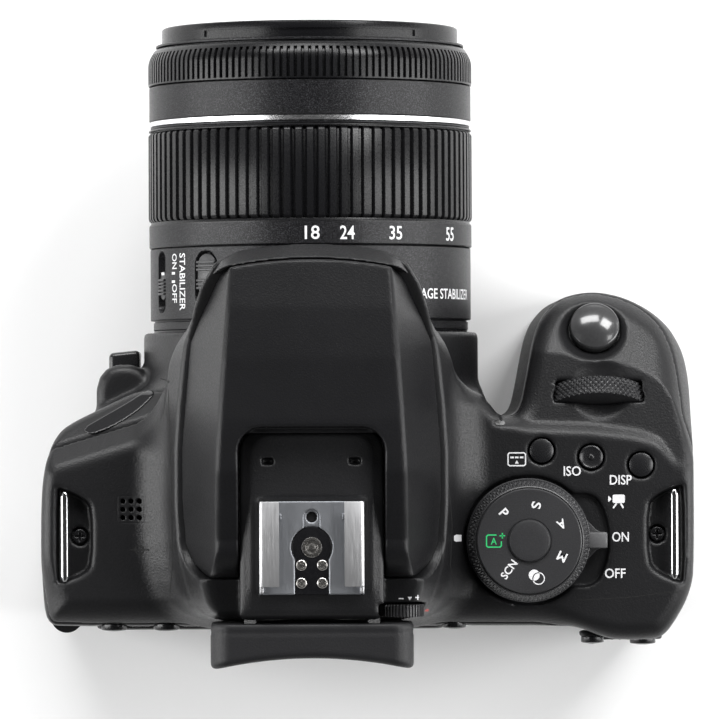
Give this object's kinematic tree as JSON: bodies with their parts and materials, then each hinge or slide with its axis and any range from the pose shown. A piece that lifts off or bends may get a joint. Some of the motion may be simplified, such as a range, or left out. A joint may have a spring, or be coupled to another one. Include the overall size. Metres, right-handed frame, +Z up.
{
  "type": "dslr camera",
  "caption": "Single-lens reflex camera with a ribbed zoom lens, raised flash and viewfinder hump, control dials, side-opening screen and moulded hand grip.",
  "frame": {"origin": "mouth of the tripod socket, on the flat base and under the optical axis", "axes": "+Z up, -Y along the lens towards the scene, -X towards the hand grip, so +Y is the side with the screen and eyepiece"},
  "size_m": [0.131, 0.1296, 0.1026],
  "materials": {
    "moulded_black": "fine-grained matte black, moulded",
    "grip_skin": "textured soft skin",
    "dial_black": "satin black with a knurled edge",
    "release_gloss": "polished black",
    "lens_black": "fine matte black",
    "zoom_rubber": "ribbed rubber sleeve",
    "silver_trim": "satin silver",
    "shoe_steel": "brushed, bare",
    "lug_chrome": "bright",
    "contact_gold": "gold-plated",
    "lens_glass": "coated",
    "screen_gloss": "black glossy pane",
    "inner_black": "dead matte black",
    "silvering": "front-silvered",
    "blade_metal": "thin blackened metal",
    "sensor_board": "glassy chip on its board",
    "battery_case": "dark grey case"
  },
  "bodies": {
    "camera_body": {"base_cover": "moulded_black", "battery": "battery_case", "case_screws": "shoe_steel", "eyepiece_lens": "lens_glass", "front_cover": "moulded_black", "grip_rubber": "grip_skin", "hot_shoe": "shoe_steel", "image_sensor": "sensor_board", "iris_unit": "inner_black", "lens_barrel": "lens_black", "lens_mount_ring": "shoe_steel", "mirror_box": "inner_black", "pentamirror": "silvering", "rear_cover": "moulded_black", "rear_lens_group": "lens_glass", "shoe_contacts": "contact_gold", "shutter_frame": "blade_metal", "silver_ring": "silver_trim", "strap_lugs": "lug_chrome", "terminal_sockets": "inner_black", "thumb_rubber": "grip_skin", "top_cover": "moulded_black", "tripod_socket": "shoe_steel"},
    "eyecup": {"eyecup": "grip_skin"},
    "diopter_knob": {"diopter_knob": "moulded_black"},
    "flash_head": {"flash_head": "moulded_black", "flash_window": "lens_glass"},
    "shutter_button": {"shutter_button": "release_gloss"},
    "main_dial": {"main_dial": "dial_black"},
    "mode_dial": {"mode_dial": "dial_black"},
    "power_lever": {"power_lever": "moulded_black"},
    "af_area_button": {"af_area_button": "moulded_black"},
    "iso_button": {"iso_button": "moulded_black"},
    "disp_button": {"disp_button": "moulded_black"},
    "menu_button": {"menu_button": "moulded_black"},
    "info_button": {"info_button": "moulded_black"},
    "live_view_button": {"live_view_button": "moulded_black"},
    "af_on_button": {"af_on_button": "moulded_black"},
    "magnify_button": {"magnify_button": "moulded_black"},
    "playback_button": {"playback_button": "moulded_black"},
    "erase_button": {"erase_button": "moulded_black"},
    "rear_dial": {"rear_dial": "dial_black"},
    "set_button": {"set_button": "moulded_black"},
    "monitor": {"monitor_housing": "moulded_black", "monitor_glass": "screen_gloss", "monitor_hinge": "moulded_black"},
    "battery_door": {"battery_door": "moulded_black"},
    "battery_latch": {"battery_latch": "moulded_black"},
    "terminal_cover_front": {"terminal_cover_front": "grip_skin"},
    "terminal_cover_rear": {"terminal_cover_rear": "grip_skin"},
    "reflex_mirror": {"reflex_mirror": "silvering"},
    "shutter_blade_1": {"shutter_blade_1": "blade_metal"},
    "shutter_blade_2": {"shutter_blade_2": "blade_metal"},
    "lens_release_button": {"lens_release_button": "moulded_black"},
    "zoom_ring": {"zoom_ring": "zoom_rubber"},
    "inner_barrel": {"inner_barrel": "lens_black", "front_lens_group": "lens_glass"},
    "focus_ring": {"focus_ring": "lens_black"},
    "af_mf_switch": {"af_mf_switch": "lens_black"},
    "stabilizer_switch": {"stabilizer_switch": "lens_black"}
  },
  "joints": [
    {"name": "eyecup_slide", "type": "slide", "parent": "camera_body", "child": "eyecup", "axis": [0, 0, 1], "range_m": [0, 0.022]},
    {"name": "diopter_turn", "type": "hinge", "parent": "camera_body", "child": "diopter_knob", "pos_m": [-0.0178, 0.02985, 0.0856], "axis": [0, 1, 0], "range_deg": [-150, 150]},
    {"name": "flash_lift", "type": "hinge", "parent": "camera_body", "child": "flash_head", "pos_m": [0, 0.0155, 0.09], "axis": [-1, 0, 0], "range_deg": [0, 68]},
    {"name": "shutter_press", "type": "slide", "parent": "camera_body", "child": "shutter_button", "axis": [0, 0.3746, -0.9272], "range_m": [0, 0.0015], "stiffness_N_per_m": 300, "springref_m": -0.001},
    {"name": "main_dial_turn", "type": "hinge", "parent": "camera_body", "child": "main_dial", "pos_m": [-0.0577, -0.01107, 0.06489], "axis": [0, 0.9272, 0.3746], "continuous": true},
    {"name": "mode_dial_turn", "type": "hinge", "parent": "camera_body", "child": "mode_dial", "pos_m": [-0.0433, 0.0163, 0.074], "axis": [0, 0, 1], "continuous": true},
    {"name": "power_lever_turn", "type": "hinge", "parent": "camera_body", "child": "power_lever", "pos_m": [-0.0433, 0.0163, 0.074], "axis": [0, 0, 1], "range_deg": [-25, 25]},
    {"name": "af_area_press", "type": "slide", "parent": "camera_body", "child": "af_area_button", "axis": [0, 0, -1], "range_m": [0, 0.0007], "stiffness_N_per_m": 200, "springref_m": -0.001},
    {"name": "iso_press", "type": "slide", "parent": "camera_body", "child": "iso_button", "axis": [0, 0, -1], "range_m": [0, 0.0007], "stiffness_N_per_m": 200, "springref_m": -0.001},
    {"name": "disp_press", "type": "slide", "parent": "camera_body", "child": "disp_button", "axis": [0, 0, -1], "range_m": [0, 0.0007], "stiffness_N_per_m": 200, "springref_m": -0.001},
    {"name": "menu_press", "type": "slide", "parent": "camera_body", "child": "menu_button", "axis": [0, -1, 0], "range_m": [0, 0.0008], "stiffness_N_per_m": 200, "springref_m": -0.001},
    {"name": "info_press", "type": "slide", "parent": "camera_body", "child": "info_button", "axis": [0, -1, 0], "range_m": [0, 0.0008], "stiffness_N_per_m": 200, "springref_m": -0.001},
    {"name": "live_view_press", "type": "slide", "parent": "camera_body", "child": "live_view_button", "axis": [0, -1, 0], "range_m": [0, 0.0008], "stiffness_N_per_m": 200, "springref_m": -0.001},
    {"name": "af_on_press", "type": "slide", "parent": "camera_body", "child": "af_on_button", "axis": [0, -1, 0], "range_m": [0, 0.0008], "stiffness_N_per_m": 200, "springref_m": -0.001},
    {"name": "magnify_press", "type": "slide", "parent": "camera_body", "child": "magnify_button", "axis": [0, -1, 0], "range_m": [0, 0.0008], "stiffness_N_per_m": 200, "springref_m": -0.001},
    {"name": "playback_press", "type": "slide", "parent": "camera_body", "child": "playback_button", "axis": [0, -1, 0], "range_m": [0, 0.0008], "stiffness_N_per_m": 200, "springref_m": -0.001},
    {"name": "erase_press", "type": "slide", "parent": "camera_body", "child": "erase_button", "axis": [0, -1, 0], "range_m": [0, 0.0008], "stiffness_N_per_m": 200, "springref_m": -0.001},
    {"name": "rear_dial_turn", "type": "hinge", "parent": "camera_body", "child": "rear_dial", "pos_m": [-0.044, 0.0318, 0.034], "axis": [0, 1, 0], "continuous": true},
    {"name": "set_press", "type": "slide", "parent": "camera_body", "child": "set_button", "axis": [0, -1, 0], "range_m": [0, 0.0007], "stiffness_N_per_m": 200, "springref_m": -0.001},
    {"name": "monitor_swing", "type": "hinge", "parent": "camera_body", "child": "monitor", "pos_m": [0.0495, 0.0316, 0.036], "axis": [0, 0, -1], "range_deg": [0, 170]},
    {"name": "battery_door_swing", "type": "hinge", "parent": "camera_body", "child": "battery_door", "pos_m": [-0.05425, -0.0065, 0.00115], "axis": [0, -1, 0], "range_deg": [0, 95]},
    {"name": "battery_latch_slide", "type": "slide", "parent": "battery_door", "child": "battery_latch", "axis": [1, 0, 0], "range_m": [0, 0.002], "stiffness_N_per_m": 150, "springref_m": -0.001},
    {"name": "terminal_cover_front_swing", "type": "hinge", "parent": "camera_body", "child": "terminal_cover_front", "pos_m": [0.0534, 0.00565, 0.037], "axis": [0, 0, -1], "range_deg": [0, 100]},
    {"name": "terminal_cover_rear_swing", "type": "hinge", "parent": "camera_body", "child": "terminal_cover_rear", "pos_m": [0.0534, 0.01525, 0.037], "axis": [0, 0, -1], "range_deg": [0, 100]},
    {"name": "mirror_flip", "type": "hinge", "parent": "camera_body", "child": "reflex_mirror", "pos_m": [0, 0.0085, 0.0575], "axis": [-1, 0, 0], "range_deg": [0, 45], "stiffness_Nm_per_rad": 0.02, "springref_deg": -11.46},
    {"name": "blade_1_drop", "type": "slide", "parent": "camera_body", "child": "shutter_blade_1", "axis": [0, 0, -1], "range_m": [0, 0.017]},
    {"name": "blade_2_drop", "type": "slide", "parent": "camera_body", "child": "shutter_blade_2", "axis": [0, 0, -1], "range_m": [0, 0.00901]},
    {"name": "lens_release_press", "type": "slide", "parent": "camera_body", "child": "lens_release_button", "axis": [0, 1, 0], "range_m": [0, 0.0025], "stiffness_N_per_m": 400, "springref_m": -0.001},
    {"name": "zoom_turn", "type": "hinge", "parent": "camera_body", "child": "zoom_ring", "pos_m": [0, -0.0553, 0.0415], "axis": [0, 1, 0], "range_deg": [0, 60.05]},
    {"name": "zoom_extend", "type": "slide", "parent": "camera_body", "child": "inner_barrel", "axis": [0, -1, 0], "range_m": [0, 0.012]},
    {"name": "focus_turn", "type": "hinge", "parent": "camera_body", "child": "focus_ring", "pos_m": [0, -0.0802, 0.0415], "axis": [0, 1, 0], "continuous": true},
    {"name": "af_mf_slide", "type": "slide", "parent": "camera_body", "child": "af_mf_switch", "axis": [0, 1, 0], "range_m": [0, 0.0018]},
    {"name": "stabilizer_slide", "type": "slide", "parent": "camera_body", "child": "stabilizer_switch", "axis": [0, 1, 0], "range_m": [0, 0.0018]}
  ],
  "couplings": [
    {"joint": "zoom_turn", "follows": "zoom_extend", "rad_per_m": 87.266},
    {"joint": "blade_2_drop", "follows": "blade_1_drop", "ratio": 0.52941}
  ]
}
